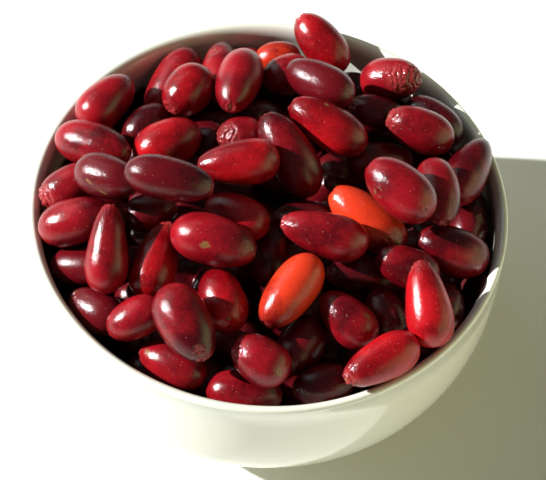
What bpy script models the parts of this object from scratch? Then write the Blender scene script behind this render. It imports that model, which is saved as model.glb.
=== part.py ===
"""Dish of cornelian cherries: a white glazed bowl heaped with oblong red fruits.

The bowl is one turned piece. The fruits that show in the photograph are separate pieces, each set on
its own sight line from the picture and moved along that line until it lies against its neighbours.
The fruits beneath them fill the bowl and are joined in a few clusters.

The origin is under the middle of the foot ring, with +Z up and +Y pointing away from the viewer.
"""

import math
from typing import NamedTuple

import bmesh
import bpy
import numpy as np

MM = 0.001

# Bowl
RIM_RADIUS = 74.0 * MM
RIM_HEIGHT = 64.5 * MM
LIP_THICKNESS = 3.7 * MM
LIP_ROUNDING = 1.1 * MM
LIP_SLOPE = 4.5 * MM
BEAD_STANDS_OUT = 0.25 * MM
WALL_THICKNESS = 3.2 * MM
BODY_BOTTOM = 3.5 * MM
ROUNDNESS = 3.7
FOOT_RADIUS = 33.0 * MM
FOOT_WIDTH = 3.6 * MM
FOOT_HEIGHT = 4.4 * MM
FOOT_CHAMFER = 0.7 * MM
FOOT_RECESS = 2.4 * MM
BOWL_SIDES = 44
WALL_POINTS = 8
LIP_POINTS = 3

# Fruits
FULLNESS = 2.3
NECK_BLUNTNESS = 7.0
LONGEST_FRUIT = 27.0 * MM
SHORTEST_TO_THICK = 1.12
SEEN_SIDES = 8
SEEN_RINGS = 7
HIDDEN_SIDES = 6
HIDDEN_RINGS = 4
HIDDEN_LENGTH = (21.0 * MM, 24.5 * MM)
HIDDEN_THICKNESS = (13.6 * MM, 15.2 * MM)
HIDDEN_NECK = 0.12

# Heap: the height of the top fruits' middles above the rim, which falls towards the wall and the back
# and rises a little towards the right
HEAP_RISE = 13.0 * MM
HEAP_FALL = 15.0 * MM
HEAP_BACK_FALL = 2.5 * MM
HEAP_RIGHT_RISE = 4.0 * MM
HEAP_RADIUS = 65.0 * MM
HIDDEN_BELOW_TOP = 7.5 * MM
HIDDEN_SPACING = 12.6 * MM
DEEP_SPACING = 3.0 * MM
HIDDEN_FROM_WALL = 8.0 * MM
HIDDEN_TRIES = 4000
CLUSTERS = 4
SEED = 11

# Placing on sight lines
DEPTH_STEPS = 30
DEPTH_EASE = 0.7
LEAST_SLANT = 0.01
SLANT_EASE = 0.9

# Settling
BALLS = 6
END_BALL_SHARE = 0.72
STEPS = 800
STEPS_BETWEEN_PAIRINGS = 20
START_SIZE = 0.55
GROWTH = 1.3
PUSH_EASE = 1.3
PUSH_SHARE_PER_HIT = 0.5
CLUSTER_PULL = 0.3
CLEARANCE = 0.42 * MM
WALL_CLEARANCE = 0.8 * MM
CLUSTER_SINK = 2.2 * MM
CLUSTER_REACH = 5.0 * MM
SLIDE_OFF_LINE = 0.22
RETURN_TO_LINE = 0.06
RETURN_TO_DEPTH = 0.012
FALL_PER_STEP = 0.03 * MM
SINK_PER_STEP = 0.035 * MM
SETTLED_FROM = 0.7
NEIGHBOUR_REACH = 31.0 * MM
WALL_SAMPLES = 90
HEAP_ROOM = 40.0 * MM

# The photograph's view: focal length and the rim's centre in pixels, distance to that centre
FOCAL_LENGTH_PX = 2940.0
RIM_CENTRE_PX = (268.8, 206.3)
VIEW_DISTANCE = 0.9
VIEW_ELEVATION = math.radians(54.3)
VIEW_ROLL = math.radians(-3.6)

GLAZE = ("Glaze", (0.86, 0.85, 0.78, 1.0), 0.18)
BRIGHT = ("Bright red skin", (0.56, 0.018, 0.02, 1.0), 0.25)
RED = ("Red skin", (0.36, 0.01, 0.015, 1.0), 0.25)
DARK = ("Dark skin", (0.1, 0.006, 0.01, 1.0), 0.25)
ORANGE = ("Orange red skin", (0.78, 0.06, 0.012, 1.0), 0.22)


class Seen(NamedTuple):
    """A fruit that shows: its ends in the picture, in pixels, its thickness in mm, and how it lies.

    lift is how far, in mm, it stands above the heap's even top. neck is how much it narrows towards
    its stalk end. lean is how many degrees its stalk end comes towards the viewer; None lays it along
    the heap. A sunk fruit lies under the others and is joined to a cluster.
    """

    stalk: tuple
    tip: tuple
    thick: float
    finish: tuple
    lift: float = 0.0
    neck: float = 0.1
    lean: float | None = None
    sunk: bool = False


SEEN_FRUITS = (
    Seen(stalk=(294, 17), tip=(340, 73), thick=13.6, finish=BRIGHT, lift=4, lean=0),
    Seen(stalk=(130, 77), tip=(82, 128), thick=14.8, finish=RED, lift=4, neck=0.2),
    Seen(stalk=(132, 154), tip=(54, 132), thick=14.4, finish=RED, lift=4, neck=0.12),
    Seen(stalk=(153, 118), tip=(196, 47), thick=14.4, finish=RED, lift=-1),
    Seen(stalk=(167, 110), tip=(208, 68), thick=15.4, finish=BRIGHT, lift=6, lean=28),
    Seen(stalk=(200, 127), tip=(134, 158), thick=15.4, finish=BRIGHT, lift=1),
    Seen(stalk=(213, 189), tip=(122, 169), thick=13.4, finish=DARK, lift=3),
    Seen(stalk=(138, 189), tip=(73, 170), thick=13.6, finish=DARK, lift=4, neck=0.15),
    Seen(stalk=(34, 202), tip=(94, 175), thick=13.2, finish=RED, lift=5, lean=5),
    Seen(stalk=(111, 207), tip=(37, 229), thick=14.4, finish=RED, lift=3),
    Seen(stalk=(118, 268), tip=(48, 264), thick=12.2, finish=DARK, lift=-4),
    Seen(stalk=(111, 201), tip=(105, 294), thick=13.6, finish=RED, lift=5, neck=0.42),
    Seen(stalk=(178, 203), tip=(124, 218), thick=11.8, finish=DARK, lift=-3, neck=0.25),
    Seen(stalk=(168, 219), tip=(141, 298), thick=14.4, finish=BRIGHT, lift=1, neck=0.3),
    Seen(stalk=(69, 296), tip=(124, 326), thick=13.0, finish=DARK, lift=-3, neck=0.15),
    Seen(stalk=(106, 332), tip=(162, 304), thick=12.8, finish=RED),
    Seen(stalk=(205, 361), tip=(162, 286), thick=16.4, finish=RED, lift=6, neck=0.15),
    Seen(stalk=(138, 349), tip=(206, 379), thick=12.8, finish=RED, lift=-3),
    Seen(stalk=(211, 267), tip=(233, 331), thick=14.4, finish=BRIGHT, lift=1),
    Seen(stalk=(264, 326), tip=(318, 256), thick=14.4, finish=ORANGE, lift=4),
    Seen(stalk=(233, 343), tip=(288, 378), thick=14.6, finish=RED, lift=5),
    Seen(stalk=(284, 398), tip=(205, 388), thick=13.4, finish=RED, lift=-2),
    Seen(stalk=(322, 318), tip=(283, 373), thick=14.0, finish=DARK, lift=-4),
    Seen(stalk=(322, 294), tip=(374, 344), thick=13.8, finish=RED, neck=0.2),
    Seen(stalk=(345, 381), tip=(421, 342), thick=13.4, finish=BRIGHT, lift=3, neck=0.25),
    Seen(stalk=(420, 259), tip=(435, 348), thick=14.4, finish=BRIGHT, lift=7, neck=0.36),
    Seen(stalk=(325, 271), tip=(402, 275), thick=12.6, finish=DARK, lift=-7),
    Seen(stalk=(376, 254), tip=(441, 278), thick=13.0, finish=RED, lift=-3),
    Seen(stalk=(450, 283), tip=(444, 330), thick=11.8, finish=DARK, lift=-5),
    Seen(stalk=(418, 237), tip=(491, 264), thick=15.0, finish=RED, lift=1),
    Seen(stalk=(479, 186), tip=(465, 248), thick=12.6, finish=DARK, lift=-4),
    Seen(stalk=(446, 226), tip=(433, 157), thick=13.6, finish=RED, lift=5),
    Seen(stalk=(371, 162), tip=(434, 215), thick=15.8, finish=RED, lift=7),
    Seen(stalk=(489, 138), tip=(450, 203), thick=14.2, finish=RED, lift=0, neck=0.25),
    Seen(stalk=(387, 114), tip=(455, 142), thick=13.8, finish=RED, lift=2),
    Seen(stalk=(408, 97), tip=(461, 140), thick=12.8, finish=DARK, lift=0),
    Seen(stalk=(423, 78), tip=(361, 80), thick=14.0, finish=RED, lift=5, lean=30),
    Seen(stalk=(410, 119), tip=(350, 107), thick=13.0, finish=DARK, lift=-5),
    Seen(stalk=(290, 100), tip=(366, 146), thick=13.8, finish=BRIGHT, lift=2, neck=0.15),
    Seen(stalk=(285, 66), tip=(352, 100), thick=13.4, finish=DARK, lift=2),
    Seen(stalk=(262, 78), tip=(312, 66), thick=13.4, finish=RED, lift=1),
    Seen(stalk=(228, 112), tip=(248, 47), thick=14.4, finish=RED, lift=5),
    Seen(stalk=(222, 37), tip=(215, 101), thick=12.4, finish=RED, lift=0, neck=0.2),
    Seen(stalk=(224, 56), tip=(270, 60), thick=12.8, finish=DARK, lift=-4),
    Seen(stalk=(257, 56), tip=(305, 57), thick=11.6, finish=ORANGE, lift=3),
    Seen(stalk=(264, 111), tip=(314, 195), thick=15.0, finish=RED, lift=4),
    Seen(stalk=(216, 134), tip=(268, 138), thick=13.4, finish=RED, lift=1, lean=22),
    Seen(stalk=(196, 165), tip=(281, 157), thick=14.4, finish=BRIGHT, lift=3, neck=0.3),
    Seen(stalk=(205, 201), tip=(269, 229), thick=13.4, finish=RED, lift=1),
    Seen(stalk=(257, 253), tip=(170, 229), thick=15.6, finish=RED, lift=5),
    Seen(stalk=(279, 220), tip=(369, 246), thick=14.2, finish=RED, lift=4, neck=0.28),
    Seen(stalk=(331, 191), tip=(405, 252), thick=14.6, finish=ORANGE, lift=1, neck=0.12),
    Seen(stalk=(415, 158), tip=(346, 162), thick=12.6, finish=DARK, lift=-4),
    Seen(stalk=(292, 391), tip=(354, 382), thick=13.0, finish=DARK, lift=-3),
    Seen(stalk=(188, 122), tip=(226, 152), thick=12.6, finish=DARK, lift=-6),
    Seen(stalk=(248, 102), tip=(300, 126), thick=12.8, finish=DARK, lift=-7, sunk=True),
    Seen(stalk=(272, 214), tip=(336, 212), thick=12.4, finish=DARK, lift=-6, sunk=True),
    Seen(stalk=(272, 226), tip=(262, 292), thick=12.8, finish=DARK, lift=-8, sunk=True),
    Seen(stalk=(163, 103), tip=(120, 140), thick=14.0, finish=DARK, lift=-3, sunk=True),
    Seen(stalk=(334, 78), tip=(378, 94), thick=12.6, finish=DARK, lift=-3, sunk=True),
    Seen(stalk=(373, 288), tip=(400, 338), thick=13.0, finish=DARK, lift=-8, sunk=True),
    Seen(stalk=(98, 326), tip=(142, 348), thick=12.4, finish=DARK, lift=-8, sunk=True),
)


class Fruit(NamedTuple):
    """A fruit's place and size in metres; axis points from the stalk end to the tip."""

    centre: np.ndarray
    axis: np.ndarray
    half_length: float
    half_thick: float
    neck: float


def clear_scene():
    for scene_object in list(bpy.data.objects):
        bpy.data.objects.remove(scene_object, do_unlink=True)


def make_material(name, colour, roughness):
    material = bpy.data.materials.get(name)
    if material is None:
        material = bpy.data.materials.new(name)
        material.use_nodes = True
        shader = material.node_tree.nodes["Principled BSDF"]
        shader.inputs["Base Color"].default_value = colour
        shader.inputs["Roughness"].default_value = roughness
        shader.inputs["Metallic"].default_value = 0.0
    return material


def body_curve(radius, depth, first_turn, last_turn, points):
    """Points (radius, height) on the bowl's rounded section, from near the rim down to the bottom."""
    turns = np.linspace(first_turn, last_turn, points)
    across = radius * np.cos(turns) ** (2 / ROUNDNESS)
    down = depth * np.sin(turns) ** (2 / ROUNDNESS)
    return [(r, RIM_HEIGHT - d) for r, d in zip(across, down)]


def inner_radius():
    return RIM_RADIUS - LIP_THICKNESS


def inner_depth():
    return RIM_HEIGHT - BODY_BOTTOM - WALL_THICKNESS


def lip_curve():
    """Points (radius, height) over the lip: a long slope inside its crest and a small round outside."""
    crest = RIM_RADIUS - LIP_ROUNDING
    slope_width = LIP_THICKNESS - LIP_ROUNDING
    slope = [
        (crest - slope_width * math.cos(a), RIM_HEIGHT - LIP_SLOPE * (1 - math.sin(a)))
        for a in np.linspace(0, math.pi / 2, LIP_POINTS + 1)
    ]
    outside = [
        (crest + LIP_ROUNDING * math.cos(a), RIM_HEIGHT - LIP_ROUNDING * (1 - math.sin(a)))
        for a in np.linspace(math.pi / 2, -math.radians(40), LIP_POINTS + 1)
    ]
    return slope + outside[1:]


def bowl_profile():
    """The turned section, from the middle of the inside over the lip and the foot to the axis."""
    near_rim, near_foot = math.radians(7), math.radians(84)
    inside = body_curve(inner_radius(), inner_depth(), near_foot, near_rim, WALL_POINTS)
    outside = body_curve(
        RIM_RADIUS - BEAD_STANDS_OUT, RIM_HEIGHT - BODY_BOTTOM, near_rim, math.radians(80), WALL_POINTS + 1
    )
    foot_inner = FOOT_RADIUS - FOOT_WIDTH
    foot = [
        (FOOT_RADIUS + FOOT_CHAMFER, FOOT_HEIGHT),
        (FOOT_RADIUS, FOOT_CHAMFER),
        (FOOT_RADIUS - FOOT_CHAMFER, 0.0),
        (foot_inner + FOOT_CHAMFER, 0.0),
        (foot_inner, FOOT_CHAMFER),
        (foot_inner - FOOT_CHAMFER, FOOT_RECESS),
    ]
    middle_top = (0.0, RIM_HEIGHT - inner_depth())
    middle_bottom = (0.0, FOOT_RECESS)
    return [middle_top, *inside, *lip_curve(), *outside[1:], *foot, middle_bottom]


def make_bowl(collection):
    profile = bowl_profile()
    mesh = bpy.data.meshes.new("bowl")
    edges = [(k, k + 1) for k in range(len(profile) - 1)]
    mesh.from_pydata([(r, 0.0, z) for r, z in profile], edges, [])
    bowl = bpy.data.objects.new("bowl", mesh)
    collection.objects.link(bowl)
    screw = bowl.modifiers.new("Turn", "SCREW")
    screw.steps = screw.render_steps = BOWL_SIDES
    screw.use_merge_vertices = True
    screw.merge_threshold = 0.00001
    screw.use_smooth_shade = True
    mesh.materials.append(make_material(*GLAZE))


def view_axes():
    """The picture's right, up and towards-the-viewer directions, before the camera's roll."""
    s, c = math.sin(VIEW_ELEVATION), math.cos(VIEW_ELEVATION)
    return np.array([1.0, 0, 0]), np.array([0, s, c]), np.array([0, -c, s])


def on_picture_plane(pixel, depth):
    """The point that a pixel shows, in the plane that lies depth in front of the camera."""
    right, up, back = view_axes()
    across = pixel[0] - RIM_CENTRE_PX[0]
    above = RIM_CENTRE_PX[1] - pixel[1]
    u = across * math.cos(VIEW_ROLL) + above * math.sin(VIEW_ROLL)
    v = -across * math.sin(VIEW_ROLL) + above * math.cos(VIEW_ROLL)
    camera = np.array([0, 0, RIM_HEIGHT]) + back * VIEW_DISTANCE
    return camera + depth * ((right * u + up * v) / FOCAL_LENGTH_PX - back)


def heap_height(point):
    """Height of the top fruits' middles over a point of the plan."""
    spread = math.hypot(point[0], point[1]) / HEAP_RADIUS
    back = max(point[1], 0.0) / HEAP_RADIUS
    right = max(point[0], 0.0) / HEAP_RADIUS
    fall = HEAP_FALL * spread**2 + HEAP_BACK_FALL * back - HEAP_RIGHT_RISE * right
    return RIM_HEIGHT + HEAP_RISE - fall


def heap_normal(point):
    slope_x = -2 * HEAP_FALL * point[0] / HEAP_RADIUS**2
    slope_y = -2 * HEAP_FALL * point[1] / HEAP_RADIUS**2
    normal = np.array([-slope_x, -slope_y, 1.0])
    return normal / np.linalg.norm(normal)


def depth_on_heap(pixel, lift):
    """How far in front of the camera a pixel's sight line meets the heap, raised by lift."""
    depth = VIEW_DISTANCE
    fall = on_picture_plane(pixel, 1.0)[2] - on_picture_plane(pixel, 0.0)[2]
    for _ in range(DEPTH_STEPS):
        point = on_picture_plane(pixel, depth)
        depth += DEPTH_EASE * (heap_height(point) + lift - point[2]) / fall
    return depth


def plain_radius(along, neck):
    """A fruit's radius along its axis before it is scaled. A long neck has a blunt end."""
    fullness = FULLNESS + np.where(along < 0, NECK_BLUNTNESS * neck**2, 0.0)
    return np.sqrt(np.clip(1 - np.abs(along) ** fullness, 0, 1)) * (1 + neck * along)


def skin_radius(along, neck):
    """A fruit's radius over its greatest one, at along = -1 at the stalk end to 1 at the tip."""
    along = np.asarray(along, dtype=float)
    return plain_radius(along, neck) / plain_radius(np.linspace(-1, 1, 201), neck).max()


def half_length_for(reach, half_thick, slant):
    """Half the length of a fruit whose half silhouette is reach when it leans by slant from it."""
    side = max(reach**2 - (half_thick * math.sin(slant)) ** 2, 0.0)
    return max(math.sqrt(side) / math.cos(slant), half_thick * SHORTEST_TO_THICK)


def place_seen(seen):
    """The fruit that gives a picture silhouette, lying on the heap."""
    middle = ((seen.stalk[0] + seen.tip[0]) / 2, (seen.stalk[1] + seen.tip[1]) / 2)
    depth = depth_on_heap(middle, seen.lift * MM)
    centre = on_picture_plane(middle, depth)
    across = on_picture_plane(seen.tip, depth) - on_picture_plane(seen.stalk, depth)
    reach = np.linalg.norm(across) / 2
    across = across / np.linalg.norm(across)
    back = view_axes()[2]
    half_thick = seen.thick * MM / 2
    if seen.lean is None:
        normal = heap_normal(centre)
        slant = math.atan(-np.dot(across, normal) / np.dot(back, normal))
        while half_length_for(reach, half_thick, slant) > LONGEST_FRUIT / 2 and abs(slant) > LEAST_SLANT:
            slant *= SLANT_EASE
    else:
        slant = -math.radians(seen.lean)
    axis = across * math.cos(slant) + back * math.sin(slant)
    return Fruit(centre, axis, half_length_for(reach, half_thick, slant), half_thick, seen.neck)


def hidden_fruits(seen, generator):
    """Fruits scattered evenly in the bowl, under the ones that show."""
    found = []
    taken = [fruit.centre for fruit in seen]
    for _ in range(HIDDEN_TRIES):
        point = generator.uniform((-1, -1, 0), (1, 1, 1)) * (inner_radius(), inner_radius(), RIM_HEIGHT)
        across = math.hypot(point[0], point[1]) + HIDDEN_FROM_WALL
        down = RIM_HEIGHT - point[2] + HIDDEN_FROM_WALL
        inside = (across / inner_radius()) ** ROUNDNESS + (down / inner_depth()) ** ROUNDNESS < 1
        low = point[2] < heap_height(point) - HIDDEN_BELOW_TOP
        spacing = HIDDEN_SPACING + DEEP_SPACING * (1 - point[2] / RIM_HEIGHT)
        if inside and low and min(np.linalg.norm(point - other) for other in taken) > spacing:
            axis = generator.normal(size=3) * (1, 1, 0.5)
            length = generator.uniform(*HIDDEN_LENGTH)
            thickness = generator.uniform(*HIDDEN_THICKNESS)
            axis /= np.linalg.norm(axis)
            found.append(Fruit(point, axis, length / 2, thickness / 2, HIDDEN_NECK))
            taken.append(point)
    return found


def cluster_of(point):
    """Which cluster a sunk fruit belongs to: the bowl's quarters."""
    turn = math.atan2(point[1], point[0]) / math.tau
    return int(turn * CLUSTERS + CLUSTERS) % CLUSTERS


def balls_in(fruit):
    """Offsets along the axis and radii of balls that fill a fruit and touch its skin from inside."""
    along = np.linspace(-1, 1, 121)
    skin = fruit.half_thick * skin_radius(along, fruit.neck)
    end_gap = END_BALL_SHARE * fruit.half_thick
    offsets = np.linspace(end_gap - fruit.half_length, fruit.half_length - end_gap, BALLS)
    reach = np.hypot(along * fruit.half_length - offsets[:, None], skin)
    return offsets, reach.min(axis=1)


def wall_samples():
    """Points (radius, height) over the lip and the bowl's inside, and the directions into the bowl there."""
    turns = np.linspace(0.001, math.pi / 2 - 0.001, WALL_SAMPLES)
    curve = np.array(body_curve(inner_radius(), inner_depth(), turns[0], turns[-1], WALL_SAMPLES))
    crest = RIM_RADIUS - LIP_ROUNDING
    beside = [(r, RIM_HEIGHT) for r in np.linspace(crest + HEAP_ROOM, crest, WALL_SAMPLES // 4)]
    slope = lip_curve()[LIP_POINTS - 1::-1]
    below = curve[curve[:, 1] < RIM_HEIGHT - LIP_SLOPE]
    curve = np.vstack([beside, slope, below])
    run = np.gradient(curve, axis=0)
    inward = np.stack([run[:, 1], -run[:, 0]], axis=1)
    return curve, inward / np.linalg.norm(inward, axis=1)[:, None]


class Heap:
    """The fruits as chains of balls, pushed apart step by step until none crosses another."""

    def __init__(self, fruits, clusters, held):
        self.centre = np.array([fruit.centre for fruit in fruits])
        self.axis = np.array([fruit.axis for fruit in fruits])
        self.size = np.array([fruit.half_length for fruit in fruits])
        chains = [balls_in(fruit) for fruit in fruits]
        self.full_offset = np.array([chain[0] for chain in chains])
        self.full_radius = np.array([chain[1] for chain in chains])
        self.cluster = np.array(clusters)
        self.held = np.array(held)
        self.home = self.centre.copy()
        camera = np.array([0, 0, RIM_HEIGHT]) + view_axes()[2] * VIEW_DISTANCE
        sight = self.centre - camera
        self.sight = sight / np.linalg.norm(sight, axis=1)[:, None]
        self.wall, self.inward = wall_samples()
        self.grow(1.0)

    def grow(self, share):
        """Sets the loose fruits' size as a share of their full one."""
        scale = np.where(self.held, 1.0, share)[:, None]
        self.offset = self.full_offset * scale
        self.radius = self.full_radius * scale

    def find_pairs(self):
        gap = np.linalg.norm(self.centre[:, None] - self.centre[None], axis=-1)
        near = np.triu(gap < NEIGHBOUR_REACH, 1)
        self.first, self.second = np.nonzero(near)
        a, b = self.cluster[self.first], self.cluster[self.second]
        self.joined = (a == b) & (a >= 0)

    def balls(self):
        return self.centre[:, None] + self.offset[:, :, None] * self.axis[:, None]

    def pair_pushes(self, balls, shift, turn, hits):
        i, j = self.first, self.second
        apart = balls[i][:, :, None] - balls[j][:, None]
        distance = np.linalg.norm(apart, axis=-1)
        space = distance - self.radius[i][:, :, None] - self.radius[j][:, None]
        closest = space.reshape(len(i), -1).argmin(axis=1)
        a, b = np.divmod(closest, BALLS)
        row = np.arange(len(i))
        space = space[row, a, b]
        need = np.where(self.joined, -CLUSTER_SINK, CLEARANCE) - space
        worst = np.where(self.joined, 0.0, need).max()
        pull = self.joined & (space < CLUSTER_REACH - CLUSTER_SINK) & (need < 0)
        need = np.where(pull, CLUSTER_PULL * need, np.maximum(need, 0.0))
        push = 0.5 * need[:, None] * apart[row, a, b] / distance[row, a, b][:, None]
        touching = (need != 0).astype(float)
        for index, sign, ball in ((i, 1.0, a), (j, -1.0, b)):
            np.add.at(shift, index, sign * push)
            np.add.at(turn, index, sign * push * self.offset[index, ball][:, None])
            np.add.at(hits, index, touching)
        return worst

    def wall_pushes(self, balls, shift, turn, hits):
        flat = balls.reshape(-1, 3)
        across = np.hypot(flat[:, 0], flat[:, 1])
        section = np.stack([across, flat[:, 2]], axis=1)
        gap = np.linalg.norm(section[:, None] - self.wall[None], axis=-1)
        nearest = gap.argmin(axis=1)
        inward = self.inward[nearest]
        clear = ((section - self.wall[nearest]) * inward).sum(axis=1)
        need = (self.radius + WALL_CLEARANCE).ravel() - clear
        need = np.maximum(need, 0.0)
        outward = flat[:, :2] / np.maximum(across, 1e-9)[:, None]
        push = np.concatenate([outward * inward[:, :1], inward[:, 1:]], axis=1) * need[:, None]
        push = push.reshape(*balls.shape)
        need = need.reshape(self.radius.shape)
        worst = need.argmax(axis=1)
        row = np.arange(len(worst))
        shift += push[row, worst]
        turn += push[row, worst] * self.offset[row, worst][:, None]
        hits += need[row, worst] > 0

    def step(self, fall, grip):
        """Moves every fruit once and gives the deepest crossing that was left before the move.

        fall is how far the loose fruits drop. grip, from 0 to 1, is how firmly the others keep to
        their places in the picture and in depth.
        """
        self.centre[:, 2] -= np.where(self.held, 0.0, fall)
        shift = np.zeros_like(self.centre)
        turn = np.zeros_like(self.centre)
        hits = np.zeros(len(self.centre))
        balls = self.balls()
        worst = self.pair_pushes(balls, shift, turn, hits)
        self.wall_pushes(balls, shift, turn, hits)
        ease = PUSH_EASE / np.maximum(1.0, PUSH_SHARE_PER_HIT * hits)[:, None]
        shift *= ease
        along = (shift * self.sight).sum(axis=1)[:, None] * self.sight
        held = self.held[:, None]
        shift = np.where(held, along + SLIDE_OFF_LINE * (shift - along), shift)
        astray = self.home - self.centre
        astray_depth = (astray * self.sight).sum(axis=1)[:, None] * self.sight
        pull_back = RETURN_TO_LINE * (astray - astray_depth) + RETURN_TO_DEPTH * astray_depth
        pull_back += SINK_PER_STEP * self.sight
        shift += np.where(held, grip * pull_back, 0.0)
        self.centre += shift
        self.axis += np.where(held, 0.0, turn * ease / (self.size**2)[:, None])
        self.axis /= np.linalg.norm(self.axis, axis=1)[:, None]
        self.centre = np.round(self.centre, 7)
        self.axis = np.round(self.axis, 6)
        return worst

    def settle(self):
        for count in range(STEPS):
            done = count / STEPS
            if count % STEPS_BETWEEN_PAIRINGS == 0:
                self.find_pairs()
            self.grow(min(1.0, START_SIZE + GROWTH * done))
            unsettled = max(0.0, 1 - done / SETTLED_FROM)
            self.step(FALL_PER_STEP * unsettled, min(1.0, 2 * unsettled))


def turned(fruit):
    """Two directions square to a fruit's axis."""
    helper = np.array([0.0, 0, 1]) if abs(fruit.axis[2]) < 0.9 else np.array([1.0, 0, 0])
    side = np.cross(helper, fruit.axis)
    side /= np.linalg.norm(side)
    return side, np.cross(fruit.axis, side)


def fruit_mesh(name, fruit, sides, rings, finish):
    """A fruit's skin: a globe drawn out along its axis and narrowed towards the stalk end."""
    shell = bmesh.new()
    bmesh.ops.create_uvsphere(shell, u_segments=sides, v_segments=rings, radius=1.0)
    side, other = turned(fruit)
    for vertex in shell.verts:
        x, y, along = vertex.co
        around = math.hypot(x, y)
        radius = fruit.half_thick * float(skin_radius(along, fruit.neck))
        spoke = (side * x + other * y) * (radius / around if around > 1e-6 else 0.0)
        vertex.co = fruit.centre + fruit.axis * along * fruit.half_length + spoke
    mesh = bpy.data.meshes.new(name)
    shell.to_mesh(mesh)
    shell.free()
    mesh.shade_smooth()
    mesh.materials.append(make_material(*finish))
    return mesh


def add_fruit(name, fruit, sides, rings, finish, collection):
    fruit_object = bpy.data.objects.new(name, fruit_mesh(name, fruit, sides, rings, finish))
    collection.objects.link(fruit_object)
    return fruit_object


def keep_largest_island(mesh):
    """Deletes every loose body of a mesh but the largest."""
    shell = bmesh.new()
    shell.from_mesh(mesh)
    left = set(shell.verts)
    islands = []
    while left:
        queue = [left.pop()]
        island = set(queue)
        while queue:
            vertex = queue.pop()
            for edge in vertex.link_edges:
                other = edge.other_vert(vertex)
                if other in left:
                    left.discard(other)
                    island.add(other)
                    queue.append(other)
        islands.append(island)
    largest = max(islands, key=len)
    extra = [vertex for vertex in shell.verts if vertex not in largest]
    bmesh.ops.delete(shell, geom=extra, context="VERTS")
    shell.to_mesh(mesh)
    shell.free()


def fuse(name, fruits, collection):
    """Joins fruits that cross one another into one body."""
    joining = bpy.data.collections.new(name + " parts")
    bpy.context.scene.collection.children.link(joining)
    base = add_fruit(name, fruits[0], HIDDEN_SIDES, HIDDEN_RINGS, DARK, collection)
    for number, fruit in enumerate(fruits[1:]):
        add_fruit(f"{name} {number}", fruit, HIDDEN_SIDES, HIDDEN_RINGS, DARK, joining)
    union = base.modifiers.new("Join", "BOOLEAN")
    union.operation = "UNION"
    union.operand_type = "COLLECTION"
    union.collection = joining
    union.solver = "EXACT"
    union.use_self = True
    evaluated = base.evaluated_get(bpy.context.evaluated_depsgraph_get())
    mesh = bpy.data.meshes.new_from_object(evaluated)
    base.modifiers.clear()
    base.data = mesh
    for part in list(joining.objects):
        bpy.data.objects.remove(part, do_unlink=True)
    bpy.data.collections.remove(joining)
    keep_largest_island(mesh)


def main():
    clear_scene()
    collection = bpy.data.collections.new("dish of cornelian cherries")
    bpy.context.scene.collection.children.link(collection)
    make_bowl(collection)

    placed = [place_seen(seen) for seen in SEEN_FRUITS]
    scattered = hidden_fruits(placed, np.random.default_rng(SEED))
    fruits = placed + scattered
    sunk = [seen.sunk for seen in SEEN_FRUITS] + [True] * len(scattered)
    held = [True] * len(placed) + [False] * len(scattered)
    clusters = [cluster_of(fruit.centre) if low else -1 for fruit, low in zip(fruits, sunk)]
    heap = Heap(fruits, clusters, held)
    heap.settle()
    fruits = [
        fruit._replace(centre=heap.centre[k], axis=heap.axis[k]) for k, fruit in enumerate(fruits)
    ]

    number = 0
    for seen, fruit in zip(SEEN_FRUITS, fruits):
        if not seen.sunk:
            number += 1
            add_fruit(f"cherry_{number:02d}", fruit, SEEN_SIDES, SEEN_RINGS, seen.finish, collection)
    for cluster in range(CLUSTERS):
        members = [fruit for fruit, owner in zip(fruits, clusters) if owner == cluster]
        fuse(f"lower_cherries_{cluster + 1}", members, collection)


if __name__ == "__main__":
    main()
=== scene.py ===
"""Looks of a dish of cornelian cherries: a white glazed bowl heaped with glossy, ripe oblong fruits.

Each fruit is measured on its solid in the frame and made again as a fine skin with its stalk scar,
folds, creases and specks. The bowl is turned again from the same section with its glaze, and the
fruits beneath are rounded from their own solids.
"""

import logging
import math
from collections.abc import Mapping, Sequence
from dataclasses import dataclass
from enum import Enum
from functools import reduce
from typing import Any

import bmesh
import bpy
import numpy as np
from mathutils import Matrix, Vector


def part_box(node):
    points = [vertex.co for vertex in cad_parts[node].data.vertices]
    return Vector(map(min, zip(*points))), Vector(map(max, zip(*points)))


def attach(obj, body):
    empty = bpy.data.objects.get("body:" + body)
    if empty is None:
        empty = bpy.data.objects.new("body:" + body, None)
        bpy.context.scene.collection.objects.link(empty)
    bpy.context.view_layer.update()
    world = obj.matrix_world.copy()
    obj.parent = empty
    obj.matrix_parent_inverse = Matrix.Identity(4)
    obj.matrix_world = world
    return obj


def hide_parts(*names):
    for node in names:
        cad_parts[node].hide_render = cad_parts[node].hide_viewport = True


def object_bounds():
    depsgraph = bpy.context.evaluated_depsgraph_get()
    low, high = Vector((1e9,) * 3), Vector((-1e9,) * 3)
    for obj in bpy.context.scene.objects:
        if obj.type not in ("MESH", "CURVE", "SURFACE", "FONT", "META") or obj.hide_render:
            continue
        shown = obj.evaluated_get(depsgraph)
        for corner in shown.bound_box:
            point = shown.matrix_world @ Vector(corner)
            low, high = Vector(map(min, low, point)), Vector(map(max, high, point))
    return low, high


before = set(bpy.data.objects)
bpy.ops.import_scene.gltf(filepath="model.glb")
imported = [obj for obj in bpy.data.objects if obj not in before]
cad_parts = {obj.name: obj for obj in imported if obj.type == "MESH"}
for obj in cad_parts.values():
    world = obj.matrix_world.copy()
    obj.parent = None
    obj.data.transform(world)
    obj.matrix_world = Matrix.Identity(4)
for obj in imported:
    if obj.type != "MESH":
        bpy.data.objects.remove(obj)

CAD_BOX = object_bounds()
BODY = "root"
MM = 0.001
MERGE_GAP = 0.01 * MM
WELD_GAP = 0.02 * MM
LOWER_HEAPS = 4
LOG = logging.getLogger("cherries")

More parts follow.
